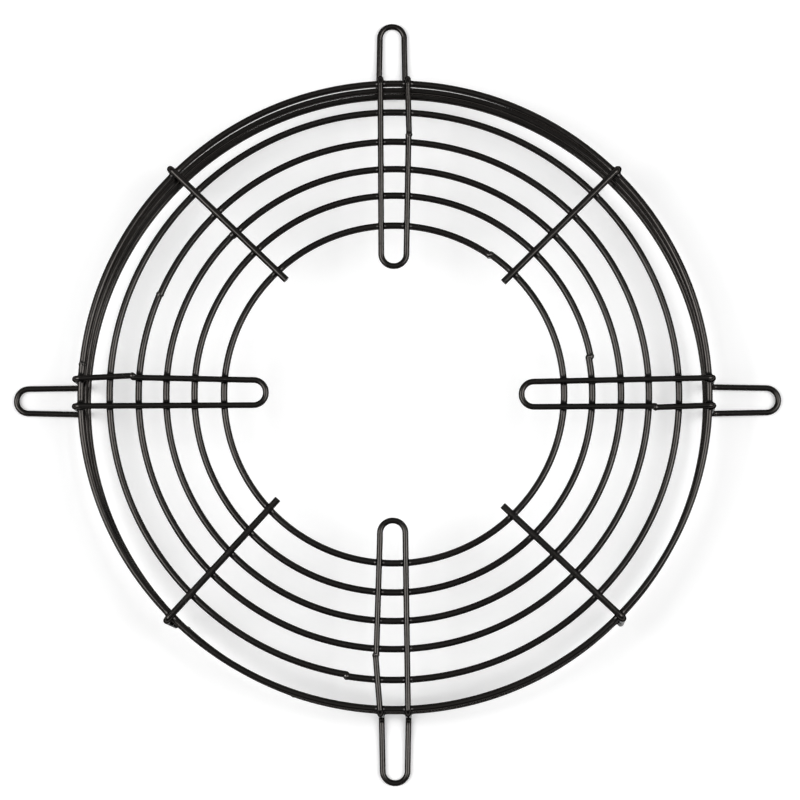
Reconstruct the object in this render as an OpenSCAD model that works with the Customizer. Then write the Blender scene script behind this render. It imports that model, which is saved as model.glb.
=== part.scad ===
// Wire guard for an axial fan.
// A shallow basket of coated steel wire. Concentric rings close the front and two more make the wall. Four
// hairpins carry the rings and end in the mounting loops, and four stays hold the rings between them.
// The axis of the fan is Z. The guard lies on its mounting loops at Z = 0, and its front looks up.

/* [Wire] */
// Diameter of the ring wire
ring_wire = 2.3; // [2:0.1:2.8]
// Diameter of the hairpin wire
hairpin_wire = 2; // [1.6:0.1:2.6]
// Diameter of the stay wire
stay_wire = 2.3; // [1.6:0.1:2.8]
// Depth by which crossed wires sink into each other in the weld
weld_sink = 0.2; // [0.1:0.05:0.4]
// Height of the bead that stands round the wire at a butt joint
bead_rise = 0.25; // [0.15:0.05:0.4]

/* [Rings] */
// Radius of the rim and wall rings, to the middle of the wire
rim_radius = 116.7; // [105:0.1:130]
// Step from ring to ring next to the rim and at the innermost ring
wide_pitch = 11; // [9:0.1:12]
// Step from ring to ring in the middle of the face
narrow_pitch = 10.3; // [9:0.1:12]
// Height between the rim, the middle and the rear ring of the wall
wall_pitch = 10.5; // [8:0.5:14]
// Height of the rear ring above the mounting loops
foot_drop = 11; // [8:0.5:16]

/* [Hairpins] */
// Radius at which the hairpins turn round at the hub
hub_radius = 47.4; // [44:0.1:52]
// Width between the two legs of a hairpin at the hub
hub_gap = 9.4; // [8:0.1:12]
// Width between the two legs of a hairpin at the rim
rim_gap = 10.2; // [8:0.1:12]
// Width between the two sides of a mounting loop
loop_gap = 9.4; // [8:0.1:12]
// Diameter of the circle on which the guard is fixed
fixing_circle = 260; // [250:1:275]
// Length of a mounting loop beyond the fixing circle
loop_reach = 15.3; // [12:0.1:20]
// Radius of the bend from the wall into a mounting loop
foot_bend = 3; // [2:0.1:4]
// Distance of the butt joint from the fan axis, on the right leg of each hairpin
joint_radius = 96.8; // [96.5:0.1:103]

/* [Stays] */
// Length of a stay beyond the innermost ring
stay_overhang = 5.1; // [2:0.1:8]
// Length of a stay below the rear ring
tail_length = 2.4; // [1.5:0.1:5]

/* [Fit-up of the welded wires] */
// Sideways lean of each hairpin at the hub
hub_lean = [0.1, 0.2, 0.4, 0.6]; // [-1:0.1:1]
// Sideways lean of each hairpin at the rim
rim_lean = [0.2, 0.4, -0.1, -0.3]; // [-1:0.1:1]
// Sideways shift of the rear ring from the rim, along X and Y
wall_lean = [1, -0.5]; // [-1.5:0.1:1.5]
// Sideways lean of each hairpin's wall wires, from the rim down to the rear ring
foot_lean = [-0.8, -0.1, 0, 0]; // [-1.5:0.1:1.5]
// Sideways lean of each mounting loop
loop_lean = [-0.9, 0.4, -0.1, -0.3]; // [-2:0.1:2]
// Length by which each mounting loop is long or short
loop_stretch = [0.2, -0.9, -0.7, 1]; // [-2:0.1:2]
// Sideways bulge of each hairpin at its butt joint
joint_bulge = [0.5, 0.6, 1.4, 0.1]; // [0:0.1:2]
// Sideways step between the two ends in each hairpin's butt joint
hairpin_step = [0.2, 0.7, 0.3, 0.5]; // [0:0.1:0.8]
// Angle by which each stay sits off its diagonal
stay_place = [0, -0.3, 0.1, 0.3]; // [-1:0.1:1]
// Angle by which each stay is turned off the radius
stay_yaw = [-0.3, 1.3, 2.4, 1.4]; // [-3:0.1:3]
// Sideways lean of each stay's wall wire, down to its tail
tail_lean = [0, 0, -0.7, 0.8]; // [-1.5:0.1:1.5]
// Angle of the butt joint in each face ring
face_joint = [55.2, 10.5, 135.3, 156.8, 260.5]; // [0:0.1:360]
// Radial step between the two ends in each face ring's butt joint
face_step = [-0.4, 0.7, 0.3, 0.2, 0.6]; // [-0.8:0.1:0.8]
// Angle of the butt joint in the rim, middle and rear ring
wall_joint = [174.5, 251, 227.5]; // [0:0.1:360]
// Radial step between the two ends in each of those butt joints
wall_step = [0.1, 0.2, -0.2]; // [-0.25:0.05:0.25]

/* [Hidden] */

coat = "#1d1e20";
wire_facets = 32;
ring_facets = 180;

// A slight bend in a wire is a knuckle, a ball a trace thicker than the wire.
knuckle = 0.02;
// The two ends of a hairpin stop this far apart inside the bead of their butt joint.
joint_clearance = 0.1;
// Each end of a ring stops short of its butt joint by this angle.
ring_clearance = 0.03;
// Straight wire between a turn and the knuckle next to it.
stub = 1.2;

face_radii = [
    rim_radius - 3 * wide_pitch - 2 * narrow_pitch,
    rim_radius - 2 * wide_pitch - 2 * narrow_pitch,
    rim_radius - 2 * wide_pitch - narrow_pitch,
    rim_radius - 2 * wide_pitch,
    rim_radius - wide_pitch
];
loop_z = (hairpin_wire + knuckle) / 2;
rear_z = loop_z + foot_drop;
middle_z = rear_z + wall_pitch;
face_z = middle_z + wall_pitch;

// Distance between the middles of a ring wire and of a wire welded across it.
hairpin_seat = (ring_wire + hairpin_wire) / 2 - weld_sink;
stay_seat = (ring_wire + stay_wire) / 2 - weld_sink;

hub_turn = hub_gap / 2 - 0.1;
loop_turn = loop_gap / 2 - 0.1;

// The wall leans from just below the rim ring.
lean_z = face_z - ring_wire / 2 - 1.85;

// Share of its whole lean that the wall has at height z.
function lean_share(z) = (lean_z - z) / (lean_z - rear_z);

// How far the wall stands aside at height z, in a frame turned by an angle.
function wall_aside(z, angle = 0) =
    let (v = wall_lean * lean_share(z))
    [v.x * cos(angle) + v.y * sin(angle), v.y * cos(angle) - v.x * sin(angle)];

// ---- Wire bent along a path ----

function unit(v) = v / norm(v);
function heading(path, i) = unit(path[i + 1] - path[i]);

// Angle by which the wire turns at point i.
function bend_at(path, i) =
    let (a = heading(path, i - 1), b = heading(path, i))
    atan2(norm(cross(a, b)), a * b);

// Length that the bend at point i takes from the straight on each side of it.
function setback(path, radii, i) = radii[i] * tan(bend_at(path, i) / 2);

// The wire from point i to the next knuckle. Z is its heading, and each bend on the way turns towards X.
module stretch(path, radii, d, i) {
    bent = i < len(path) - 2 && radii[i + 1] > 0;
    start = radii[i] > 0 ? setback(path, radii, i) : 0;
    end = bent ? setback(path, radii, i + 1) : 0;
    straight = norm(path[i + 1] - path[i]) - start - end;
    cylinder(h = straight, d = d, $fn = wire_facets);
    if (bent) {
        r = radii[i + 1];
        bend = bend_at(path, i + 1);
        translate([r, 0, straight]) {
            rotate([90, 0, 180])
                rotate_extrude(angle = bend, $fn = 4 * wire_facets)
                    translate([r, 0]) circle(d = d, $fn = wire_facets);
            rotate([0, bend, 0]) translate([-r, 0, 0]) stretch(path, radii, d, i + 1);
        }
    }
}

// A wire bent along a path. A point of radius 0 is a knuckle, from which the wire sets out afresh.
module bent_wire(path, radii, d) {
    for (i = [0:len(path) - 2])
        if (radii[i] == 0) {
            u = heading(path, i);
            tilt = atan2(norm([u.x, u.y]), u.z);
            turn = atan2(u.y, u.x);
            x_dir = [cos(turn) * cos(tilt), sin(turn) * cos(tilt), -sin(tilt)];
            y_dir = [-sin(turn), cos(turn), 0];
            next = i < len(path) - 2 ? heading(path, i + 1) : x_dir;
            roll = radii[i + 1] > 0 ? atan2(next * y_dir, next * x_dir) : 0;
            translate(path[i]) rotate([0, tilt, turn]) rotate(roll) {
                if (i > 0) sphere(d = d + knuckle, $fn = wire_facets);
                stretch(path, radii, d, i);
            }
        }
}

// ---- Hairpin ----

// A wire closed on itself: round its end at the hub, out along two legs, tightly over the rim, down the wall
// and out again into the mounting loop. Its two ends meet in a butt joint on the right leg.
// Y points outward, and k counts the hairpins from the top one, turning left.

leg_z = face_z + hairpin_seat;
foot_z = loop_z + foot_bend + stub;
hub_knee = hub_radius + hub_turn + stub;
hairpin_wall = rim_radius + hairpin_seat;

function wall_depth(x) = sqrt(hairpin_wall * hairpin_wall - x * x);

// Where a wall wire that hangs from x at the rim reaches the height of the mounting loop.
function foot(k, x) =
    let (aside = wall_aside(foot_z, 90 * k), foot_x = x + foot_lean[k] * lean_share(foot_z))
    [foot_x, wall_depth(foot_x - aside.x) + aside.y];

// Sideways place of the inner end of the wire in the butt joint: on the line of the leg, plus its bulge.
function joint_in(k) =
    let (hub = hub_lean[k] + hub_gap / 2, rim = rim_lean[k] + rim_gap / 2)
    hub + (joint_radius - hub_knee) / (wall_depth(rim) - hub_knee) * (rim - hub) + joint_bulge[k];

function joint_out(k) = joint_in(k) + hairpin_step[k];

// The wire from its outer end in the butt joint round to its inner end.
function hairpin_path(k) =
    let (
        hub_left = hub_lean[k] - hub_gap / 2,
        hub_right = hub_lean[k] + hub_gap / 2,
        rim_left = rim_lean[k] - rim_gap / 2,
        rim_right = rim_lean[k] + rim_gap / 2,
        loop_left = loop_lean[k] - loop_gap / 2,
        loop_right = loop_lean[k] + loop_gap / 2,
        loop_tip = fixing_circle / 2 + loop_reach + loop_stretch[k],
        loop_knee = loop_tip - loop_turn - stub,
        left = [rim_left, wall_depth(rim_left)],
        right = [rim_right, wall_depth(rim_right)]
    ) [
        [joint_out(k), joint_radius + joint_clearance / 2, leg_z],
        [each right, leg_z],
        [each right, lean_z],
        [each foot(k, rim_right), foot_z],
        [each foot(k, rim_right), loop_z],
        [loop_right, loop_knee, loop_z],
        [loop_right, loop_tip, loop_z],
        [loop_left, loop_tip, loop_z],
        [loop_left, loop_knee, loop_z],
        [each foot(k, rim_left), loop_z],
        [each foot(k, rim_left), foot_z],
        [each left, lean_z],
        [each left, leg_z],
        [hub_left, hub_knee, leg_z],
        [hub_left, hub_radius, leg_z],
        [hub_right, hub_radius, leg_z],
        [hub_right, hub_knee, leg_z],
        [joint_in(k), joint_radius - joint_clearance / 2, leg_z]
    ];

hairpin_radii = [
    0, hairpin_seat, 0, 0, foot_bend,
    0, loop_turn, loop_turn, 0,
    foot_bend, 0, 0, hairpin_seat,
    0, hub_turn, hub_turn, 0,
    0
];

function part_of(list, first, last) = [for (i = [first:last]) list[i]];

// The stretch of a hairpin between two points of its path.
module hairpin_stretch(k, first, last) {
    bent_wire(part_of(hairpin_path(k), first, last), part_of(hairpin_radii, first, last), hairpin_wire);
}

module hairpin_bead(k) {
    translate([(joint_in(k) + joint_out(k)) / 2, joint_radius, leg_z])
        sphere(d = hairpin_wire + 2 * bead_rise, $fn = wire_facets);
}

module hairpin(k) {
    rotate(90 * k) {
        hairpin_stretch(k, 0, len(hairpin_radii) - 1);
        hairpin_bead(k);
    }
}

// The stretches that lie on the rings: the right leg outside and inside its joint, and the left leg.
module hairpin_on_rings(k) {
    rotate(90 * k) {
        hairpin_stretch(k, 0, 3);
        hairpin_stretch(k, 10, 13);
        hairpin_stretch(k, 16, 17);
        hairpin_bead(k);
    }
}

// ---- Stay ----

// A wire cut square at both ends, laid across the rings, bent over the rim and down past the rear ring.
// k counts the stays from the top right one, turning left.
module stay(k) {
    wall = rim_radius + stay_seat;
    stay_z = face_z + stay_seat;
    tail_z = rear_z - tail_length;
    place = 90 * k - 45 + stay_place[k];
    rotate(place) translate([0, wall, 0]) rotate(stay_yaw[k])
        bent_wire([
            [0, face_radii[0] - stay_overhang - wall, stay_z],
            [0, 0, stay_z],
            [0, 0, lean_z],
            [each wall_aside(tail_z, place + stay_yaw[k]) + [tail_lean[k], 0], tail_z]
        ], [0, stay_seat, 0, 0], stay_wire);
}

// ---- Rings ----

// Half of a ring whose end at the joint stands out of the true circle by half the step.
module half_ring(radius, step) {
    translate([step / 4, 0, 0]) rotate(ring_clearance)
        rotate_extrude(angle = 180 - ring_clearance, $fn = ring_facets)
            translate([radius + step / 4, 0]) circle(d = ring_wire, $fn = wire_facets);
}

// A ring rolled from straight wire and butt welded, with a saddle wherever a hairpin or stay is welded on.
module ring(radius, z, joint, step, aside = [0, 0]) {
    difference() {
        translate([each aside, z]) rotate(joint) {
            half_ring(radius, step);
            mirror([0, 1, 0]) half_ring(radius, -step);
            translate([radius, 0, 0]) sphere(d = ring_wire + 2 * bead_rise, $fn = wire_facets);
        }
        for (k = [0:3]) {
            hairpin_on_rings(k);
            stay(k);
        }
    }
}

module face_ring(n) {
    ring(face_radii[n], face_z, face_joint[n], face_step[n]);
}

module wall_ring(z, n) {
    ring(rim_radius, z, wall_joint[n], wall_step[n], wall_aside(z));
}

module face_ring_1() { color(coat) face_ring(0); }
module face_ring_2() { color(coat) face_ring(1); }
module face_ring_3() { color(coat) face_ring(2); }
module face_ring_4() { color(coat) face_ring(3); }
module face_ring_5() { color(coat) face_ring(4); }
module rim_ring() { color(coat) ring(rim_radius, face_z, wall_joint[0], wall_step[0]); }
module wall_ring_middle() { color(coat) wall_ring(middle_z, 1); }
module wall_ring_rear() { color(coat) wall_ring(rear_z, 2); }

module hairpin_top() { color(coat) hairpin(0); }
module hairpin_left() { color(coat) hairpin(1); }
module hairpin_bottom() { color(coat) hairpin(2); }
module hairpin_right() { color(coat) hairpin(3); }

module stay_top_right() { color(coat) stay(0); }
module stay_top_left() { color(coat) stay(1); }
module stay_bottom_left() { color(coat) stay(2); }
module stay_bottom_right() { color(coat) stay(3); }

face_ring_1();
face_ring_2();
face_ring_3();
face_ring_4();
face_ring_5();
rim_ring();
wall_ring_middle();
wall_ring_rear();
hairpin_top();
hairpin_left();
hairpin_bottom();
hairpin_right();
stay_top_right();
stay_top_left();
stay_bottom_left();
stay_bottom_right();
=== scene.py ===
"""Looks of the welded wire fan guard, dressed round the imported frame.

Every wire is a fine tube swept along the path of its solid, with the fillets of the welds, the beads and
steps of the butt joints and a black coating over drawn steel. Paths are worked out in millimetres, and each
mesh is made in metres in the frame of the model.
"""

import sys
import logging
import math
from dataclasses import dataclass
from enum import Enum

import bpy
import numpy as np
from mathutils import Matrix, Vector, noise
from mathutils.kdtree import KDTree


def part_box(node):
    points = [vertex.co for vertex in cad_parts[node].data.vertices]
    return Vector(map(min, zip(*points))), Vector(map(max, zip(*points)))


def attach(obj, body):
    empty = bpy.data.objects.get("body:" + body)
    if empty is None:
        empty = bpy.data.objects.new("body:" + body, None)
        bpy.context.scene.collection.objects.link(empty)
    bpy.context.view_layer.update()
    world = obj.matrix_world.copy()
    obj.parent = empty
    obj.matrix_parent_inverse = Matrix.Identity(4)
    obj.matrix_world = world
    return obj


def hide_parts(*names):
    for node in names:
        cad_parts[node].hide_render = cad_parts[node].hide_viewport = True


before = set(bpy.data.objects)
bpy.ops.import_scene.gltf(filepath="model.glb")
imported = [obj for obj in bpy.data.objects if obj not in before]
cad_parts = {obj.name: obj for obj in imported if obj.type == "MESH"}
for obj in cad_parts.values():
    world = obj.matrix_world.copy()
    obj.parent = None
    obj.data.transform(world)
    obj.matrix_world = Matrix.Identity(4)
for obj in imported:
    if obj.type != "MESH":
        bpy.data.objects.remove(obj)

MM = 0.001

# Distance between the points of a wire's middle line, and reach over which a slight kink is rounded, in
# millimetres.
POINT_STEP = 0.06
KINK_REACH = 0.22

# Number of points in the circle of a ring, before they are spaced evenly.
RING_POINTS = 9000

# Angle from which an edge is shaded sharp, in degrees.
SHARP_ANGLE = 35.0

# Noise that makes each fillet different: one value for the whole weld and a finer one along its surface.
LUMP_SCALE = 0.31
LUMP_SHIFT = Vector((3.1, 1.7, 5.3))
FINE_LUMP_SCALE = 1.7
FINE_LUMP_SHARE = 0.5

log = logging.getLogger("fan_guard")


class Side(Enum):
    """The side of the guard that a hairpin serves, counted from the top, turning left."""

    TOP = 0
    LEFT = 1
    BOTTOM = 2
    RIGHT = 3


class Corner(Enum):
    """The diagonal that a stay lies on, counted from the top right, turning left."""

    TOP_RIGHT = 0
    TOP_LEFT = 1
    BOTTOM_LEFT = 2
    BOTTOM_RIGHT = 3


# ---- Sizes ----


@dataclass(frozen=True)
class GuardSizes:
    """Sizes that the wires of the guard share, in millimetres.

    The heights of the rings come from the boxes of their solids.

    Attributes:
        rim_z: Height of the rim ring and the face rings, to the middle of the wire.
        rear_z: Height of the rear ring of the wall.
        ring_wire: Diameter of the ring wire.
        hairpin_wire: Diameter of the hairpin wire.
        stay_wire: Diameter of the stay wire.
        weld_sink: Depth by which crossed wires sink into each other in the weld.
        rim_radius: Radius of the rim ring.
        inner_radius: Radius of the innermost ring.
        hub_radius: Radius at which the hairpins turn round at the hub.
        hub_gap: Width between the two legs of a hairpin at the hub.
        rim_gap: Width between the two legs of a hairpin at the rim.
        loop_gap: Width between the two sides of a mounting loop.
        loop_tip: Distance of a mounting loop's tip from the axis.
        loop_z: Height of the mounting loops.
        foot_bend: Radius of the bend from the wall into a mounting loop.
        joint_radius: Distance of a hairpin's butt joint from the axis.
        stay_overhang: Length of a stay beyond the innermost ring.
        tail_length: Length of a stay below the rear ring.
        stub: Straight stretch of wire between a U and the next knee.
        lean_drop: Distance below the rim ring at which the wall starts to lean.
        turn_slack: How much tighter a U is bent than half its width.
        joint_gap: Distance between the two ends in a hairpin's butt joint.
        coat_film: Thickness of the coating.
        low_film: Thickness of the coating on the two rings of the wall, kept small so that the narrow gaps
            beside the rim ring stay open.
        wall_lean: Offset of the rear ring along X and Y.
    """

    rim_z: float
    rear_z: float
    ring_wire: float = 2.3
    hairpin_wire: float = 2.0
    stay_wire: float = 2.3
    weld_sink: float = 0.2
    rim_radius: float = 116.7
    inner_radius: float = 63.1
    hub_radius: float = 47.4
    hub_gap: float = 9.4
    rim_gap: float = 10.2
    loop_gap: float = 9.4
    loop_tip: float = 145.3
    loop_z: float = 1.01
    foot_bend: float = 3.0
    joint_radius: float = 96.8
    stay_overhang: float = 5.1
    tail_length: float = 2.4
    stub: float = 1.2
    lean_drop: float = 1.85
    turn_slack: float = 0.1
    joint_gap: float = 0.04
    coat_film: float = 0.10
    low_film: float = 0.01
    wall_lean: tuple[float, float] = (1.0, -0.5)

    @classmethod
    def from_frame(cls) -> "GuardSizes":
        """Reads the heights of the rings from the frame."""
        return cls(node_height("rim_ring"), node_height("wall_ring_rear"))

    @property
    def hairpin_seat(self) -> float:
        """Distance between the middles of a ring wire and a hairpin wire in their weld."""
        return (self.ring_wire + self.hairpin_wire) / 2 - self.weld_sink

    @property
    def hairpin_wall(self) -> float:
        """Distance of a hairpin's wall wires from the axis of the rings."""
        return self.rim_radius + self.hairpin_seat

    @property
    def hairpin_z(self) -> float:
        """Height of a hairpin's legs."""
        return self.rim_z + self.hairpin_seat

    @property
    def hub_turn(self) -> float:
        """Radius of the bend of a hairpin at the hub."""
        return self.hub_gap / 2 - self.turn_slack

    @property
    def loop_turn(self) -> float:
        """Radius of the bend of a mounting loop."""
        return self.loop_gap / 2 - self.turn_slack

    @property
    def stay_seat(self) -> float:
        """Distance between the middles of a ring wire and a stay wire in their weld."""
        return (self.ring_wire + self.stay_wire) / 2 - self.weld_sink

    @property
    def lean_z(self) -> float:
        """Height at which the wall starts to lean, just below the rim ring."""
        return self.rim_z - self.ring_wire / 2 - self.lean_drop

    def lean_share(self, z: float) -> float:
        """Share of its whole lean that the wall has at a height."""
        return (self.lean_z - z) / (self.lean_z - self.rear_z)

    def wall_aside(self, z: float, angle: float = 0.0) -> np.ndarray:
        """Tells how far the wall stands aside at a height.

        Args:
            z: Height of the point.
            angle: Angle of the frame in which the answer is wanted, in degrees.

        Returns:
            The offset along X and Y of that frame.
        """
        x, y = (lean * self.lean_share(z) for lean in self.wall_lean)
        c, s = math.cos(math.radians(angle)), math.sin(math.radians(angle))
        return np.array([x * c + y * s, y * c - x * s])


def node_height(node: str) -> float:
    """Gives the middle height of a node's box, in millimetres."""
    low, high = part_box(node)
    return (low[2] + high[2]) / 2 / MM


def node_radius(node: str, wire: float) -> float:
    """Gives the radius of a ring, to the middle of its wire, in millimetres.

    Args:
        node: Name of the ring's node.
        wire: Diameter of the ring's wire.

    Returns:
        The mean of the half widths along X and Y, less half the wire.
    """
    low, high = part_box(node)
    return (high[0] - low[0] + high[1] - low[1]) / 4 / MM - wire / 2


# ---- Wire paths ----


def unit(vectors: np.ndarray) -> np.ndarray:
    """Scales a vector, or each row of an array of them, to a length of 1."""
    return vectors / np.linalg.norm(vectors, axis=-1, keepdims=True)


def turned(points: np.ndarray, degrees: float) -> np.ndarray:
    """Turns points about the axis of the fan.

    Args:
        points: Points, one a row.
        degrees: Angle, counterclockwise seen from the front.

    Returns:
        The turned points.
    """
    c, s = math.cos(math.radians(degrees)), math.sin(math.radians(degrees))
    x, y, z = points.T
    return np.stack([x * c - y * s, x * s + y * c, z], axis=1)


def bent_path(corners: list[list[float]], radii: list[float]) -> np.ndarray:
    """Lays points along a wire that is straight between bends.

    Args:
        corners: Corner points of the wire.
        radii: Radius of the bend at each corner, to the middle of the wire. 0 is a slight kink.

    Returns:
        The points, from the first corner to the last.
    """
    points = [np.array(corner, float) for corner in corners]
    out, here = [], points[0]
    for i in range(1, len(points)):
        ahead = unit(points[i] - points[i - 1])
        angle, side = 0.0, ahead
        if i < len(points) - 1 and radii[i] > 0:
            onward = unit(points[i + 1] - points[i])
            angle = math.atan2(float(np.linalg.norm(np.cross(ahead, onward))), float(ahead @ onward))
            side = unit(onward - (onward @ ahead) * ahead)
        end = points[i] - ahead * radii[i] * math.tan(angle / 2)
        count = max(2, math.ceil(np.linalg.norm(end - here) / POINT_STEP) + 1)
        out += [here + (end - here) * share for share in np.linspace(0, 1, count)[:-1]]
        here = end
        if angle:
            middle = end + side * radii[i]
            count = max(6, math.ceil(radii[i] * angle / POINT_STEP) + 1)
            turns = np.linspace(0, angle, count)
            arc = [middle + radii[i] * (ahead * math.sin(turn) - side * math.cos(turn)) for turn in turns]
            out += arc[:-1]
            here = arc[-1]
    out.append(points[-1])
    return np.array(out)


@dataclass(frozen=True)
class RowSpacing:
    """Distances between the rows of vertices along a wire, in millimetres.

    Attributes:
        weld: Distance at a weld.
        weld_growth: How fast it grows away from the other wire.
        widest: The widest distance.
        turn: Angle between two rows in a bend, in radians.
        joint: Distance at a butt joint.
        end: Distance at a cut end.
        end_growth: How fast it grows away from a butt joint or a cut end.
    """

    weld: float = 0.17
    weld_growth: float = 0.3
    widest: float = 1.5
    turn: float = 0.13
    joint: float = 0.07
    end: float = 0.3
    end_growth: float = 0.25


@dataclass
class WirePath:
    """The middle line of a wire, as close points in millimetres.

    Attributes:
        points: Points along the middle line.
        diameter: Diameter of the wire.
        closed: True for a wire that is joined to itself.
        joint: True where the ends of a closed wire meet in a butt joint at the first point.
    """

    points: np.ndarray
    diameter: float
    closed: bool
    joint: bool = False

    def __post_init__(self) -> None:
        """Evens out the points and rounds slight kinks."""
        self.points = self._rounded(self._even(self.points))
        self.lengths = self._lengths(self.points)

    def _lengths(self, points: np.ndarray) -> np.ndarray:
        """Gives the length of wire up to each point."""
        return np.concatenate([[0.0], np.cumsum(np.linalg.norm(np.diff(points, axis=0), axis=1))])

    def _even(self, points: np.ndarray) -> np.ndarray:
        """Spaces points evenly.

        Args:
            points: Points along the wire.

        Returns:
            Points at even steps, the last of a closed wire one step short of the first.
        """
        if self.closed:
            points = np.vstack([points, points[:1]])
        lengths = self._lengths(points)
        keep = np.concatenate([[True], np.diff(lengths) > 1e-9])
        lengths, points = lengths[keep], points[keep]
        count = math.ceil(lengths[-1] / POINT_STEP)
        at = np.linspace(0, lengths[-1], count + 1)
        if self.closed:
            at = at[:-1]
        return np.stack([np.interp(at, lengths, points[:, axis]) for axis in range(3)], axis=1)

    def _rounded(self, points: np.ndarray) -> np.ndarray:
        """Blends each point with its neighbours, so that a kink becomes a short bend.

        Args:
            points: Evenly spaced points.

        Returns:
            The blended points. The ends of an open wire stay where they are.
        """
        step = float(np.linalg.norm(points[1] - points[0]))
        reach = math.ceil(3 * KINK_REACH / step)
        weights = np.exp(-0.5 * (np.arange(-reach, reach + 1) * step / KINK_REACH) ** 2)
        weights /= weights.sum()
        if self.closed:
            padded = np.vstack([points[-reach:], points, points[:reach]])
        else:
            before = 2 * points[0] - points[reach:0:-1]
            after = 2 * points[-1] - points[-2 : -reach - 2 : -1]
            padded = np.vstack([before, points, after])
        return np.stack([np.convolve(padded[:, axis], weights, mode="valid") for axis in range(3)], axis=1)

    def at(self, places: np.ndarray) -> np.ndarray:
        """Finds points of the middle line.

        Args:
            places: Lengths along the wire.

        Returns:
            The points at those lengths.
        """
        lengths, points = self.lengths, self.points
        if self.closed:
            lengths = np.append(lengths, self.total)
            points = np.vstack([points, points[:1]])
        return np.stack([np.interp(places, lengths, points[:, axis]) for axis in range(3)], axis=1)

    @property
    def total(self) -> float:
        """Length of the wire."""
        gap = float(np.linalg.norm(self.points[0] - self.points[-1])) if self.closed else 0.0
        return float(self.lengths[-1]) + gap

    def stations(self, others: "WireCloud") -> np.ndarray:
        """Chooses where the rows of vertices stand: close at welds, bends and the butt joint.

        Args:
            others: The wires that this one is welded to.

        Returns:
            Lengths along the wire.
        """
        set_out = RowSpacing()
        coarse, along = self.points[::4], self.lengths[::4]
        gap = others.distances(coarse) - self.diameter / 2
        widest = set_out.weld + set_out.weld_growth * np.maximum(gap, 0.0)
        spacing = np.clip(widest, set_out.weld, set_out.widest)
        tangents = unit(np.gradient(coarse, axis=0))
        turn = np.linalg.norm(np.gradient(tangents, axis=0), axis=1) / np.gradient(along)
        spacing = np.minimum(spacing, set_out.turn / np.maximum(turn, 1e-6))
        away = set_out.end_growth * np.minimum(along, self.total - along)
        if self.joint:
            spacing = np.minimum(spacing, set_out.joint + away)
        if not self.closed:
            spacing = np.minimum(spacing, set_out.end + away)
        density = 1 / spacing
        rows = np.concatenate([[0.0], np.cumsum(np.diff(along) * 0.5 * (density[1:] + density[:-1]))])
        count = math.ceil(rows[-1])
        if self.closed:
            rows = np.append(rows, rows[-1] + (self.total - along[-1]) / spacing[-1])
            along = np.append(along, self.total)
            return np.interp(np.linspace(0, rows[-1], count + 1)[:-1], rows, along)
        along = np.append(along[:-1], self.total)
        return np.interp(np.linspace(0, rows[-1], count + 1), rows, along)


class WireCloud:
    """The middle lines of a set of wires, for finding the nearest of them."""

    def __init__(self, paths: list[WirePath]) -> None:
        """Gathers the wires.

        Args:
            paths: Middle lines of the wires.
        """
        clouds = [path.points[::2] for path in paths]
        self._radii = np.concatenate([
            np.full(len(cloud), path.diameter / 2) for cloud, path in zip(clouds, paths)
        ])
        points = np.vstack(clouds)
        self._tree = KDTree(len(points))
        for i, point in enumerate(points):
            self._tree.insert(point, i)
        self._tree.balance()

    def distance(self, point: np.ndarray) -> tuple[float, Vector]:
        """Measures to the nearest wire of the set.

        Args:
            point: Point in millimetres.

        Returns:
            The distance to that wire's surface, below 0 inside it, and the nearest point of its middle line.
        """
        nearest, index, reach = self._tree.find(point)
        return reach - float(self._radii[index]), nearest

    def distances(self, points: np.ndarray) -> np.ndarray:
        """Gives the distance from each point to the surface of the nearest wire."""
        return np.array([self.distance(point)[0] for point in points])


# ---- Wire meshes ----


@dataclass(frozen=True)
class WeldForm:
    """Shape of the metal and the coating at welds, joints and cut ends, in millimetres.

    Attributes:
        film: Thickness of the coating.
        reach: Distance from another wire within which a weld can change this one.
        fillet: Distance from the other wire at which a fillet runs out.
        slope: Height of a fillet for each millimetre of its reach.
        unevenness: Share by which a fillet's reach changes from place to place.
        fade: Distance over which the coating of a weld fades into the rest.
        bead_rise: Height of the bead round a butt joint.
        bead_width: Half width of the bead.
        seam_depth: Depth of the seam in the bead.
        seam_width: Half width of the seam.
        cut_width: Half width of the bare metal at a butt joint.
        chamfer: Size of the worn corner at a cut end.
    """

    film: float
    reach: float = 2.4
    fillet: float = 1.5
    slope: float = 0.25
    unevenness: float = 0.35
    fade: float = 0.7
    bead_rise: float = 0.22
    bead_width: float = 0.5
    seam_depth: float = 0.10
    seam_width: float = 0.09
    cut_width: float = 0.35
    chamfer: float = 0.16


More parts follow.
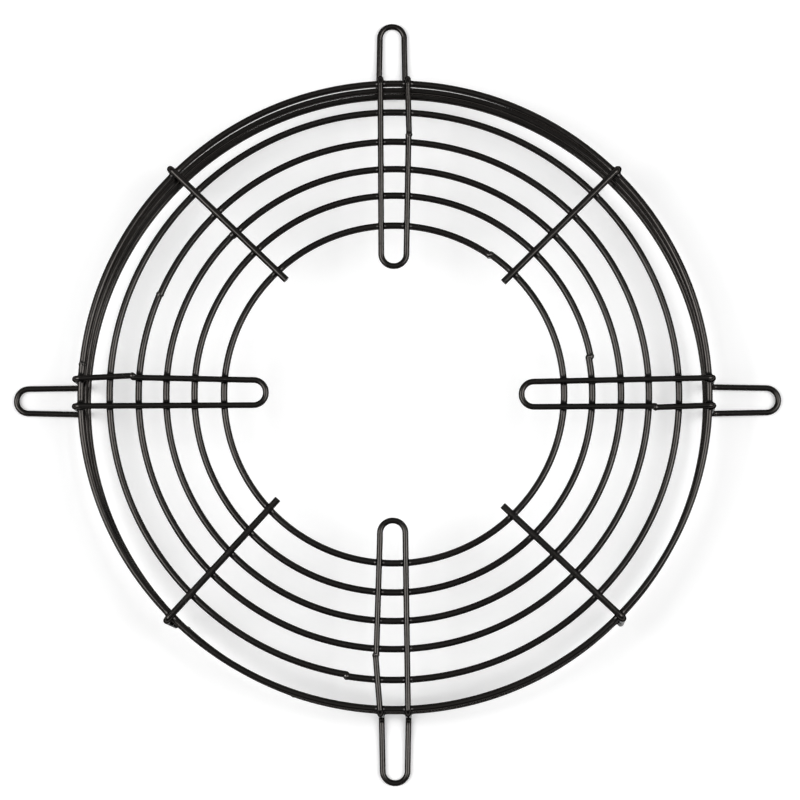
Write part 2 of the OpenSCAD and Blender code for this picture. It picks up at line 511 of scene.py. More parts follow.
@dataclass
class WireTube:
    """Sweeps a round wire along its path and shapes its welds.

    Attributes:
        path: Middle line of the wire.
        others: The wires that it is welded to.
        form: Shape of its welds and its coating.
        sides: Number of vertices round the wire.
    """

    path: WirePath
    others: WireCloud
    form: WeldForm
    sides: int = 24

    def _frames(self, points: np.ndarray) -> tuple[np.ndarray, np.ndarray]:
        """Carries a pair of cross directions along the wire without twist.

        Args:
            points: Rows' middle points.

        Returns:
            Two unit directions across the wire for each point. On a closed wire they come back to the first.
        """
        if self.path.closed:
            tangents = np.roll(points, -1, axis=0) - np.roll(points, 1, axis=0)
        else:
            tangents = np.gradient(points, axis=0)
        tangents = unit(tangents)
        start = np.array([0.0, 0.0, 1.0]) if abs(tangents[0][2]) < 0.9 else np.array([0.0, 1.0, 0.0])
        normals = [unit(start - (start @ tangents[0]) * tangents[0])]
        for before, after in zip(tangents[:-1], tangents[1:]):
            normal = normals[-1]
            axis = np.cross(before, after)
            sine, cosine = float(np.linalg.norm(axis)), float(before @ after)
            if sine > 1e-12:
                axis /= sine
                stay = axis * float(axis @ normal) * (1 - cosine)
                normal = normal * cosine + np.cross(axis, normal) * sine + stay
            normals.append(unit(normal - (normal @ after) * after))
        normals = np.array(normals)
        sides = np.cross(tangents, normals)
        if self.path.closed:
            last = tangents[-1]
            home = normals[0] - (normals[0] @ last) * last
            twist = math.atan2(float(np.cross(normals[-1], home) @ last), float(normals[-1] @ home))
            share = np.linspace(0, twist, len(points), endpoint=False)[:, None]
            normals, sides = (
                normals * np.cos(share) + sides * np.sin(share),
                sides * np.cos(share) - normals * np.sin(share),
            )
        return normals, sides

    def _radii(self, along: np.ndarray) -> np.ndarray:
        """Gives the radius of the wire at each row, with the bead of a butt joint and the seam in it.

        Args:
            along: Lengths of the rows along the wire.

        Returns:
            Radius of each row.
        """
        radii = np.full(len(along), self.path.diameter / 2 + self.form.film)
        if self.path.joint:
            away = np.minimum(along, self.path.total - along)
            radii += self.form.bead_rise * np.exp(-((away / self.form.bead_width) ** 2))
            radii -= self.form.seam_depth * np.exp(-((away / self.form.seam_width) ** 2))
        return radii

    def _swell(self, vertices: np.ndarray, outward: np.ndarray, rows: np.ndarray) -> np.ndarray:
        """Raises the fillets of the welds out of the wire.

        Args:
            vertices: Vertices of the plain tube, changed in place.
            outward: Unit direction away from the middle line at each vertex.
            rows: Indices of the vertices that may lie near another wire.

        Returns:
            For each vertex, how much it belongs to a weld, from 0 to 1.
        """
        form = self.form
        weld = np.zeros(len(vertices))
        for i in rows:
            gap, nearest = self.others.distance(vertices[i])
            if gap > form.reach:
                continue
            lump = noise.noise(nearest * LUMP_SCALE + LUMP_SHIFT)
            fine = noise.noise(Vector(vertices[i]) * FINE_LUMP_SCALE)
            fillet = form.fillet * (1 + form.unevenness * (lump + FINE_LUMP_SHARE * fine))
            share = max(0.0, 1 - max(gap, 0.0) / fillet)
            vertices[i] += outward[i] * (fillet * form.slope * share * share)
            weld[i] = math.exp(-max(gap, 0.0) / form.fade)
        return weld

    def _faces(self, rows: int) -> list[list[int]]:
        """Gives the faces of the tube.

        Args:
            rows: Number of rows of vertices.

        Returns:
            The corners of each face, with the two cut faces of an open wire last.
        """
        round_count = self.sides
        strips = rows if self.path.closed else rows - 1
        i, j = np.meshgrid(np.arange(strips), np.arange(round_count), indexing="ij")
        here, after = i * round_count, (i + 1) % rows * round_count
        turn = (j + 1) % round_count
        faces = np.stack([here + j, here + turn, after + turn, after + j], axis=-1).reshape(-1, 4).tolist()
        if not self.path.closed:
            faces.append(list(range(round_count - 1, -1, -1)))
            faces.append(list(range((rows - 1) * round_count, rows * round_count)))
        return faces

    def mesh(self, name: str) -> bpy.types.Mesh:
        """Makes the mesh of the wire in metres.

        Args:
            name: Name of the mesh.

        Returns:
            The mesh, with the wire's own coordinates, its welds and its cut ends as attributes.
        """
        along = self.path.stations(self.others)
        points = self.path.at(along)
        normals, sides = self._frames(points)
        radii = self._radii(along)
        phi = np.arange(self.sides) * 2 * math.pi / self.sides
        cosines, sines = np.cos(phi), np.sin(phi)
        outward = normals[:, None, :] * cosines[None, :, None] + sides[:, None, :] * sines[None, :, None]
        if not self.path.closed:
            points, radii, outward, along = self._with_ends(points, radii, outward, along)
        shape = (len(points), self.sides)
        vertices = (points[:, None, :] + outward * radii[:, None, None]).reshape(-1, 3)
        coords = np.stack([
            np.broadcast_to(along[:, None], shape),
            np.broadcast_to(cosines, shape) * self.path.diameter / 2,
            np.broadcast_to(sines, shape) * self.path.diameter / 2,
        ], axis=-1)
        gaps = self.others.distances(points) - self.path.diameter / 2
        near = np.flatnonzero(np.repeat(gaps < self.form.reach, self.sides))
        weld = self._swell(vertices, outward.reshape(-1, 3), near)
        cut = np.zeros(len(points))
        if not self.path.closed:
            cut[:2] = cut[-2:] = 1.0
        elif self.path.joint:
            away = np.minimum(along, self.path.total - along)
            cut = np.exp(-((away / self.form.cut_width) ** 2))
        mesh = bpy.data.meshes.new(name)
        mesh.from_pydata((vertices * MM).tolist(), [], self._faces(len(points)))
        mesh.attributes.new("wire_coords", "FLOAT_VECTOR", "POINT").data.foreach_set("vector", coords.ravel())
        for label, values in (("weld", weld), ("cut", np.repeat(cut, self.sides))):
            mesh.attributes.new(label, "FLOAT", "POINT").data.foreach_set("value", values)
        mesh.update()
        mesh.shade_smooth()
        if not self.path.closed:
            mesh.set_sharp_from_angle(angle=math.radians(SHARP_ANGLE))
        return mesh

    def _with_ends(
        self, points: np.ndarray, radii: np.ndarray, outward: np.ndarray, along: np.ndarray
    ) -> tuple[np.ndarray, np.ndarray, np.ndarray, np.ndarray]:
        """Adds the worn corner of a square cut to both ends of an open wire.

        Args:
            points: Middle points of the rows.
            radii: Radii of the rows.
            outward: Directions away from the middle line, a row of them for each point.
            along: Lengths of the rows along the wire.

        Returns:
            The same four arrays with the rows of the chamfers and the cut faces added.
        """
        chamfer = self.form.chamfer
        first, last = unit(points[1] - points[0]), unit(points[-1] - points[-2])
        head = np.array([points[0], points[0] + first * chamfer])
        tail = np.array([points[-1] - last * chamfer, points[-1]])
        points = np.vstack([head, points[1:-1], tail])
        head, tail = [radii[0] - chamfer, radii[0]], [radii[-1], radii[-1] - chamfer]
        radii = np.concatenate([head, radii[1:-1], tail])
        outward = np.concatenate([outward[:1], outward[:1], outward[1:-1], outward[-1:], outward[-1:]])
        head, tail = [along[0], along[0] + chamfer], [along[-1] - chamfer, along[-1]]
        along = np.concatenate([head, along[1:-1], tail])
        return points, radii, outward, along


# ---- Shader groups ----


@dataclass
class NodeSheet:
    """A node tree with short calls for adding nodes and linking them.

    Attributes:
        tree: The node tree.
    """

    tree: bpy.types.NodeTree

    @classmethod
    def of(cls, owner: bpy.types.Material | bpy.types.World) -> "NodeSheet":
        """Gives the emptied node tree of a material or a world.

        Args:
            owner: The material or the world.

        Returns:
            Its sheet.
        """
        owner.use_nodes = True
        owner.node_tree.nodes.clear()
        return cls(owner.node_tree)

    def finish(self, kind: str, shader: bpy.types.NodeSocket) -> None:
        """Adds the output node of the given type and feeds its surface."""
        self.link(shader, self.add(kind).inputs["Surface"])

    def add(self, kind: str, **settings: object) -> bpy.types.Node:
        """Adds a node.

        Args:
            kind: Type of the node.
            settings: Properties to set on it.

        Returns:
            The node.
        """
        node = self.tree.nodes.new(kind)
        for key, value in settings.items():
            setattr(node, key, value)
        return node

    def seen_rays(self) -> bpy.types.NodeSocket:
        """Marks the rays that show a backdrop.

        Returns:
            1 for a ray from the camera, a reflection or a transmission, and otherwise 0.
        """
        ray = self.add("ShaderNodeLightPath")
        seen = self.math("MAXIMUM", ray.outputs["Is Camera Ray"], ray.outputs["Is Glossy Ray"])
        return self.math("MAXIMUM", seen, ray.outputs["Is Transmission Ray"])

    def link(self, source: bpy.types.NodeSocket, target: bpy.types.NodeSocket) -> None:
        """Links an output to an input."""
        self.tree.links.new(source, target)

    def feed(self, target: bpy.types.NodeSocket, value: object) -> None:
        """Feeds an input with a link or a constant.

        Args:
            target: The input.
            value: An output socket, a number or a tuple.
        """
        if isinstance(value, bpy.types.NodeSocket):
            self.link(value, target)
        else:
            target.default_value = value

    def math(
        self, operation: str, first: object, second: object, clamp: bool = False
    ) -> bpy.types.NodeSocket:
        """Adds a Math node.

        Args:
            operation: Name of the operation.
            first: First operand, a socket or a number.
            second: Second operand, a socket or a number.
            clamp: True to keep the result between 0 and 1.

        Returns:
            The result.
        """
        node = self.add("ShaderNodeMath", operation=operation, use_clamp=clamp)
        self.feed(node.inputs[0], first)
        self.feed(node.inputs[1], second)
        return node.outputs[0]

    def spread(
        self, value: object, low: float, high: float, out_low: float, out_high: float
    ) -> bpy.types.NodeSocket:
        """Maps a value smoothly from one range to another.

        Args:
            value: The value, a socket or a number.
            low: Value that gives out_low.
            high: Value that gives out_high.
            out_low: Result at low.
            out_high: Result at high.

        Returns:
            The result.
        """
        node = self.add("ShaderNodeMapRange", interpolation_type="SMOOTHSTEP")
        for socket, item in zip(node.inputs, (value, low, high, out_low, out_high)):
            self.feed(socket, item)
        return node.outputs[0]

    def mix(self, factor: object, first: object, second: object) -> bpy.types.NodeSocket:
        """Mixes two colours.

        Args:
            factor: Share of the second colour.
            first: First colour, a socket or a tuple of four.
            second: Second colour.

        Returns:
            The mixed colour.
        """
        node = self.add("ShaderNodeMix", data_type="RGBA")
        self.feed(node.inputs["Factor"], factor)
        self.feed(node.inputs[6], first)
        self.feed(node.inputs[7], second)
        return node.outputs[2]

    def stretched_noise(
        self, coords: object, scale: tuple[float, float, float], detail: float, roughness: float
    ) -> bpy.types.NodeSocket:
        """Adds a noise texture over scaled coordinates.

        Args:
            coords: Coordinates of the surface.
            scale: Scale along each axis.
            detail: Number of finer layers.
            roughness: Strength of the finer layers.

        Returns:
            The noise, from 0 to 1.
        """
        mapping = self.add("ShaderNodeMapping", vector_type="POINT")
        mapping.inputs["Scale"].default_value = scale
        self.feed(mapping.inputs["Vector"], coords)
        texture = self.add("ShaderNodeTexNoise", noise_dimensions="3D")
        for label, value in (("Scale", 1.0), ("Detail", detail), ("Roughness", roughness)):
            texture.inputs[label].default_value = value
        self.link(mapping.outputs[0], texture.inputs["Vector"])
        return texture.outputs[0]


class Effect:
    """A shader node group that several finishes use.

    Attributes:
        name: Name of the group.
        inputs: Name, socket type and default of each input.
        outputs: Name and socket type of each output.
        group: The group itself.
    """

    name = "effect"
    inputs: tuple[tuple[str, str, object], ...] = ()
    outputs: tuple[tuple[str, str], ...] = ()

    def __init__(self) -> None:
        """Builds the group."""
        self.group = bpy.data.node_groups.new(self.name, "ShaderNodeTree")
        for label, kind, value in self.inputs:
            socket = self.group.interface.new_socket(name=label, in_out="INPUT", socket_type=kind)
            if value is not None:
                socket.default_value = value
        for label, kind in self.outputs:
            self.group.interface.new_socket(name=label, in_out="OUTPUT", socket_type=kind)
        sheet = NodeSheet(self.group)
        given, made = sheet.add("NodeGroupInput"), sheet.add("NodeGroupOutput")
        for label, value in self.build(sheet, given).items():
            sheet.feed(made.inputs[label], value)

    def build(self, sheet: NodeSheet, given: bpy.types.Node) -> dict[str, object]:
        """Builds the nodes of the group.

        Args:
            sheet: The group's node tree.
            given: The node with the group's inputs.

        Returns:
            What feeds each output.
        """
        raise NotImplementedError

    def place(self, sheet: NodeSheet, **values: object) -> bpy.types.Node:
        """Places the group in a material.

        Args:
            sheet: The material's node tree.
            values: Sockets or constants for the inputs, with an underscore for each space in a name.

        Returns:
            The group's node.
        """
        node = sheet.add("ShaderNodeGroup", node_tree=self.group)
        for key, value in values.items():
            sheet.feed(node.inputs[key.replace("_", " ")], value)
        return node


class DrawnWire(Effect):
    """Fine lines along the wire, left by the drawing die and still seen through the coating."""

    name = "drawn_wire"
    inputs = (("Coords", "NodeSocketVector", None), ("Depth", "NodeSocketFloat", 1.0))
    outputs = (("Height", "NodeSocketFloat"), ("Lines", "NodeSocketFloat"))

    def build(self, sheet: NodeSheet, given: bpy.types.Node) -> dict[str, object]:
        """Builds long thin streaks and broader bands.

        Args:
            sheet: The group's node tree.
            given: The node with the group's inputs.

        Returns:
            What feeds each output.
        """
        fine = sheet.stretched_noise(given.outputs["Coords"], (0.05, 9.0, 9.0), 2.0, 0.6)
        broad = sheet.stretched_noise(given.outputs["Coords"], (0.02, 2.2, 2.2), 1.0, 0.5)
        both = sheet.math("ADD", sheet.math("MULTIPLY", fine, 0.6), sheet.math("MULTIPLY", broad, 0.4))
        lines = sheet.spread(both, 0.3, 0.7, 0.0, 1.0)
        return {"Height": sheet.math("MULTIPLY", lines, given.outputs["Depth"]), "Lines": lines}


class CoatFlow(Effect):
    """The coating's orange peel, its slow changes of thickness and a few bits of grit under it."""

    name = "coat_flow"
    inputs = (("Coords", "NodeSocketVector", None), ("Peel", "NodeSocketFloat", 1.0))
    outputs = (("Height", "NodeSocketFloat"), ("Thickness", "NodeSocketFloat"))

    def build(self, sheet: NodeSheet, given: bpy.types.Node) -> dict[str, object]:
        """Builds peel, thickness and grit.

        Args:
            sheet: The group's node tree.
            given: The node with the group's inputs.

        Returns:
            What feeds each output.
        """
        coords = given.outputs["Coords"]
        peel = sheet.stretched_noise(coords, (1.3, 1.9, 1.9), 2.0, 0.45)
        slow = sheet.stretched_noise(coords, (0.11, 0.5, 0.5), 2.0, 0.5)
        cells = sheet.add("ShaderNodeTexVoronoi", feature="F1", distance="EUCLIDEAN")
        cells.inputs["Scale"].default_value = 0.9
        sheet.link(coords, cells.inputs["Vector"])
        pick = sheet.add("ShaderNodeSeparateColor")
        sheet.link(cells.outputs["Color"], pick.inputs[0])
        chosen = sheet.math("GREATER_THAN", pick.outputs[0], 0.8)
        grit = sheet.math("MULTIPLY", sheet.spread(cells.outputs["Distance"], 0.06, 0.2, 1.0, 0.0), chosen)
        skin = sheet.math("MULTIPLY", peel, given.outputs["Peel"])
        return {"Height": sheet.math("ADD", skin, sheet.math("MULTIPLY", grit, 0.8)), "Thickness": slow}


class WeldMarks(Effect):
    """The lumps and the darker coating on the fillets of a weld, and bare specks on joints and cut ends."""

    name = "weld_marks"
    inputs = (
        ("Coords", "NodeSocketVector", None),
        ("Weld", "NodeSocketFloat", 0.0),
        ("Cut", "NodeSocketFloat", 0.0),
    )
    outputs = (("Height", "NodeSocketFloat"), ("Thin Coat", "NodeSocketFloat"), ("Bare", "NodeSocketFloat"))

    def build(self, sheet: NodeSheet, given: bpy.types.Node) -> dict[str, object]:
        """Builds lumps round the weld and specks at cut ends.

        Args:
            sheet: The group's node tree.
            given: The node with the group's inputs.

        Returns:
            What feeds each output.
        """
        coords = given.outputs["Coords"]
        lumps = sheet.stretched_noise(coords, (1.6, 1.6, 1.6), 3.0, 0.6)
        thin = sheet.math("MULTIPLY", given.outputs["Weld"], sheet.spread(lumps, 0.3, 0.65, 0.35, 1.0))
        specks = sheet.stretched_noise(coords, (2.6, 2.6, 2.6), 1.0, 0.5)
        bare = sheet.math("MULTIPLY", given.outputs["Cut"], sheet.spread(specks, 0.56, 0.68, 0.0, 1.0))
        height = sheet.math("MULTIPLY", lumps, given.outputs["Weld"])
        return {"Height": height, "Thin Coat": thin, "Bare": bare}


class ShopDust(Effect):
    """Light dust that has settled on the upper side of the wires."""

    name = "shop_dust"
    inputs = (("Amount", "NodeSocketFloat", 0.1),)
    outputs = (("Mask", "NodeSocketFloat"),)

    def build(self, sheet: NodeSheet, given: bpy.types.Node) -> dict[str, object]:
        """Builds the dust from the facing of the surface and a patchy noise.

        Args:
            sheet: The group's node tree.
            given: The node with the group's inputs.

        Returns:
            What feeds each output.
        """
        surface = sheet.add("ShaderNodeNewGeometry")
        facing = sheet.add("ShaderNodeSeparateXYZ")
        sheet.link(surface.outputs["Normal"], facing.inputs[0])
        up = sheet.spread(facing.outputs[2], 0.25, 1.0, 0.0, 1.0)
        place = sheet.add("ShaderNodeTexCoord")
        patches = sheet.stretched_noise(place.outputs["Object"], (160.0, 160.0, 160.0), 3.0, 0.6)
        grains = sheet.stretched_noise(place.outputs["Object"], (2600.0, 2600.0, 2600.0), 1.0, 0.5)
        patches, grains = sheet.spread(patches, 0.4, 0.7, 0.2, 1.0), sheet.spread(grains, 0.45, 0.7, 0.1, 1.0)
        lie = sheet.math("MULTIPLY", patches, grains)
        return {"Mask": sheet.math("MULTIPLY", sheet.math("MULTIPLY", up, lie), given.outputs["Amount"])}


# ---- Finishes ----


@dataclass(frozen=True)
class Effects:
    """The shader groups that the finishes share.

    Attributes:
        drawn_wire: Lines along the wire.
        coat_flow: Peel, grit and thickness of the coating.
        weld_marks: Marks on welds, joints and cut ends.
        shop_dust: Dust on the upper side.
    """

    drawn_wire: DrawnWire
    coat_flow: CoatFlow
    weld_marks: WeldMarks
    shop_dust: ShopDust


@dataclass(frozen=True)
class CoatFinish:
    """Black semi-gloss coating on a steel wire.

    Attributes:
        name: Name of the material.
        colour: Colour of the full coating.
        thin_colour: Colour where the coating is thin.
        weld_colour: Colour of the coating on a weld.
        dust_colour: Colour of the dust.
        steel_colour: Colour of bare steel.
        gloss: Roughness of the smoothest coating.
        dull: Roughness of the dullest coating.
        lines_dull: Roughness that the drawing lines add.
        dust_dull: Roughness that the dust adds.
        peel: Strength of the orange peel.
        lines: Strength of the drawing lines.
        lumps: Strength of the lumps on a weld.
        relief: Strength with which lines, peel and lumps are shaded.
        relief_depth: Height that they stand for, in metres.
        dust: Amount of dust.
        index: Index of refraction of the coating.
    """

    name: str
    colour: tuple[float, float, float] = (0.0385, 0.0355, 0.0330)
    thin_colour: tuple[float, float, float] = (0.043, 0.040, 0.038)
    weld_colour: tuple[float, float, float] = (0.016, 0.0165, 0.0195)
    dust_colour: tuple[float, float, float] = (0.20, 0.19, 0.175)
    steel_colour: tuple[float, float, float] = (0.42, 0.41, 0.40)
    gloss: float = 0.09
    dull: float = 0.16
    lines_dull: float = 0.03
    dust_dull: float = 0.5
    peel: float = 0.5
    lines: float = 0.22
    lumps: float = 2.0
    relief: float = 0.8
    relief_depth: float = 0.00005
    dust: float = 0.05
    index: float = 1.5

    def material(self, effects: Effects) -> bpy.types.Material:
        """Builds the material.

        Args:
            effects: The shader groups.

        Returns:
            The material.
        """
        material = bpy.data.materials.new(self.name)
        material.diffuse_color = (*self.colour, 1.0)
        sheet = NodeSheet.of(material)
        coords = sheet.add("ShaderNodeAttribute", attribute_name="wire_coords").outputs["Vector"]
        weld = sheet.add("ShaderNodeAttribute", attribute_name="weld").outputs["Fac"]
        cut = sheet.add("ShaderNodeAttribute", attribute_name="cut").outputs["Fac"]
        drawn = effects.drawn_wire.place(sheet, Coords=coords, Depth=self.lines)
        flow = effects.coat_flow.place(sheet, Coords=coords, Peel=self.peel)
        marks = effects.weld_marks.place(sheet, Coords=coords, Weld=weld, Cut=cut)
        dust = effects.shop_dust.place(sheet, Amount=self.dust)

        shade = sheet.mix(flow.outputs["Thickness"], (*self.thin_colour, 1.0), (*self.colour, 1.0))
        for mask, colour in (
            (marks.outputs["Thin Coat"], self.weld_colour),
            (dust.outputs["Mask"], self.dust_colour),
            (marks.outputs["Bare"], self.steel_colour),
        ):
            shade = sheet.mix(mask, shade, (*colour, 1.0))
        rough = sheet.spread(flow.outputs["Thickness"], 0.3, 0.7, self.gloss, self.dull)
        rough = sheet.math("ADD", rough, sheet.math("MULTIPLY", drawn.outputs["Lines"], self.lines_dull))
        dusty = sheet.math("MULTIPLY", dust.outputs["Mask"], self.dust_dull)
        rough = sheet.math("ADD", rough, dusty, clamp=True)

        height = sheet.math("ADD", drawn.outputs["Height"], flow.outputs["Height"])
        height = sheet.math("ADD", height, sheet.math("MULTIPLY", marks.outputs["Height"], self.lumps))
        bump = sheet.add("ShaderNodeBump")
        bump.inputs["Strength"].default_value = self.relief
        bump.inputs["Distance"].default_value = self.relief_depth
        sheet.link(height, bump.inputs["Height"])

        # A metallic shader with a black edge tint stands for the coating, because it keeps the wires dark at
        # their edges, where a plain coat would show the pale floor.
        coat = sheet.add("ShaderNodeBsdfPrincipled")
        coat.inputs["IOR"].default_value = self.index
        coat.inputs["Specular Tint"].default_value = (0.0, 0.0, 0.0, 1.0)
        coat.inputs["Metallic"].default_value = 1.0
        sheet.link(shade, coat.inputs["Base Color"])
        sheet.link(rough, coat.inputs["Roughness"])
        sheet.link(bump.outputs[0], coat.inputs["Normal"])
        sheet.finish("ShaderNodeOutputMaterial", coat.outputs[0])
        return material


def set_down(name: str, data: bpy.types.ID) -> bpy.types.Object:
    """Makes an object and links it to the scene.

    Args:
        name: Name of the object.
        data: Its mesh, lamp or camera.

    Returns:
        The object.
    """
    made = bpy.data.objects.new(name, data)
    bpy.context.scene.collection.objects.link(made)
    return made


# ---- Pieces ----


@dataclass
class ButtJoint:
    """The joint at which a ring's two ends meet.

    Attributes:
        angle: Place on the ring, in degrees from the right, counterclockwise.
        step: Radial step between the two ends, in millimetres.
    """

    angle: float
    step: float


@dataclass
class GuardWire:
    """A wire of the guard, and how it becomes a piece.

    Attributes:
        sizes: Sizes of the guard.
        node: Name of the solid that the wire stands for.
    """

    sizes: GuardSizes
    node: str

    def path(self) -> WirePath:
        """Gives the middle line of the wire."""
        raise NotImplementedError

    def form(self) -> WeldForm:
        """Gives the shape of its welds and its coating."""
        return WeldForm(self.sizes.coat_film)

    def dress(self, path: WirePath, others: WireCloud, material: bpy.types.Material) -> bpy.types.Object:
        """Makes the piece and puts it in place of its solid.

        Args:
            path: Middle line of the wire.
            others: The wires that it is welded to.
            material: Its coating.

        Returns:
            The piece.
        """
        mesh = WireTube(path, others, self.form()).mesh(f"coated_{self.node}")
        piece = set_down(mesh.name, mesh)
        mesh.materials.append(material)
        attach(piece, "root")
        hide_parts(self.node)
        return piece


@dataclass
class Ring(GuardWire):
    """A ring rolled from straight wire and butt welded.

    Attributes:
        joint: Its butt joint.
        leaning: True for a ring of the wall below the rim.
        aside: Offset of its centre along X and Y, besides the lean of the wall.
    """

    joint: ButtJoint
    leaning: bool = False
    aside: tuple[float, float] = (0.0, 0.0)

    def form(self) -> WeldForm:
        """Gives the shape of its welds and its coating, with the thin film on a ring of the wall."""
        return WeldForm(self.sizes.low_film) if self.leaning else super().form()

    def path(self) -> WirePath:
        """Rolls the circle of the ring.

        Returns:
            The middle line, which starts and ends at the butt joint.
        """
        sizes = self.sizes
        radius, z = node_radius(self.node, sizes.ring_wire), node_height(self.node)
        turn = np.linspace(0, 2 * math.pi, RING_POINTS, endpoint=False)
        out = radius + np.where(turn < math.pi, 1, -1) * self.joint.step / 4 * (1 + np.cos(turn))
        angle = turn + math.radians(self.joint.angle)
        points = np.stack([out * np.cos(angle), out * np.sin(angle), np.full(turn.size, z)], axis=1)
        points[:, :2] += self.aside
        if self.leaning:
            points[:, :2] += sizes.wall_aside(z)
        return WirePath(points, sizes.ring_wire, closed=True, joint=True)


@dataclass
class Hairpin(GuardWire):
    """A wire bent into a U at the hub, two legs, two wall wires and a mounting loop.

    Attributes:
        side: The side that it serves.
        hub_lean: Sideways lean at the hub.
        rim_lean: Sideways lean at the rim.
        foot_lean: Sideways lean of its wall wires, from the rim down to the rear ring.
        loop_lean: Sideways lean of the mounting loop.
        loop_stretch: Length by which the loop is long or short.
        bulge: Sideways bulge at the butt joint.
        step: Sideways step between the two ends in the butt joint.
    """

    side: Side
    hub_lean: float
    rim_lean: float
    foot_lean: float
    loop_lean: float
    loop_stretch: float
    bulge: float
    step: float

    def foot(self, x: float, z: float) -> list[float]:
        """Gives the place of a wall wire low on the wall.

        Args:
            x: Sideways place of the wire at the rim.
            z: Height of the point.

        Returns:
            Its sideways place and its distance out.
        """
        s = self.sizes
        aside_x, aside_y = s.wall_aside(z, 90 * self.side.value)
        foot_x = x + self.foot_lean * s.lean_share(z)
        return [foot_x, math.sqrt(s.hairpin_wall**2 - (foot_x - aside_x) ** 2) + aside_y]

    def limb(self, rim_x: float, loop_x: float) -> list[list[float]]:
        """Sets out one side of the hairpin, down the wall and out along the mounting loop.

        Args:
            rim_x: Sideways place of the wire at the rim.
            loop_x: Sideways place of the wire in the loop.

        Returns:
            Its corners, from the rim to the tip of the loop.
        """
        s = self.sizes
        low = s.loop_z + s.coat_film
        tip = s.loop_tip + self.loop_stretch - s.coat_film
        knee_z = low + s.foot_bend + s.stub
        out = math.sqrt(s.hairpin_wall**2 - rim_x**2)
        foot = self.foot(rim_x, knee_z)
        return [
            [rim_x, out, s.hairpin_z],
            [rim_x, out, s.lean_z],
            [*foot, knee_z],
            [*foot, low],
            [loop_x, tip - s.loop_turn - s.stub, low],
            [loop_x, tip, low],
        ]

    def path(self) -> WirePath:
        """Bends the hairpin.

        Returns:
            The closed middle line, from the outer end in the butt joint round to the inner end.
        """
        s = self.sizes
        hub_l, hub_r = self.hub_lean - s.hub_gap / 2, self.hub_lean + s.hub_gap / 2
        rim_l, rim_r = self.rim_lean - s.rim_gap / 2, self.rim_lean + s.rim_gap / 2
        loop_l, loop_r = self.loop_lean - s.loop_gap / 2, self.loop_lean + s.loop_gap / 2
        right, left = self.limb(rim_r, loop_r), self.limb(rim_l, loop_l)
        hub_knee = s.hub_radius + s.hub_turn + s.stub
        share = (s.joint_radius - hub_knee) / (right[0][1] - hub_knee)
        joint_in = hub_r + share * (rim_r - hub_r) + self.bulge
        corners = [
            [joint_in + self.step, s.joint_radius + s.joint_gap / 2, s.hairpin_z],
            *right,
            *reversed(left),
            [hub_l, hub_knee, s.hairpin_z],
            [hub_l, s.hub_radius, s.hairpin_z],
            [hub_r, s.hub_radius, s.hairpin_z],
            [hub_r, hub_knee, s.hairpin_z],
            [joint_in, s.joint_radius - s.joint_gap / 2, s.hairpin_z],
        ]
        bends = [s.hairpin_seat, 0, 0, s.foot_bend, 0, s.loop_turn]
        radii = [0, *bends, *reversed(bends), 0, s.hub_turn, s.hub_turn, 0, 0]
        points = turned(bent_path(corners, radii), 90 * self.side.value)
        return WirePath(points, s.hairpin_wire, closed=True, joint=True)


@dataclass
class Stay(GuardWire):
    """A straight wire across the rings, bent over the rim and down past the rear ring, cut square.

    Attributes:
        corner: The diagonal that it lies on.
        place: Angle by which it sits off its diagonal, in degrees.
        yaw: Angle by which it is turned off the radius, in degrees.
        tail_lean: Sideways lean of its wall wire, down to the tail.
    """

    corner: Corner
    place: float
    yaw: float
    tail_lean: float = 0.0

    def path(self) -> WirePath:
        """Bends the stay.

        Returns:
            The middle line, from the inner end to the tail.
        """
        s = self.sizes
        wall, top = s.rim_radius + s.stay_seat, s.rim_z + s.stay_seat - s.coat_film
        tail = s.rear_z - s.tail_length
        place = 90 * self.corner.value - 45 + self.place
        aside_x, aside_y = s.wall_aside(tail, place + self.yaw)
        inner = s.inner_radius - s.stay_overhang - wall
        corners = [[0, inner, top], [0, 0, top], [0, 0, s.lean_z], [aside_x + self.tail_lean, aside_y, tail]]
        points = turned(bent_path(corners, [0, s.stay_seat, 0, 0]), self.yaw) + np.array([0, wall, 0])
        return WirePath(turned(points, place), s.stay_wire, closed=False)


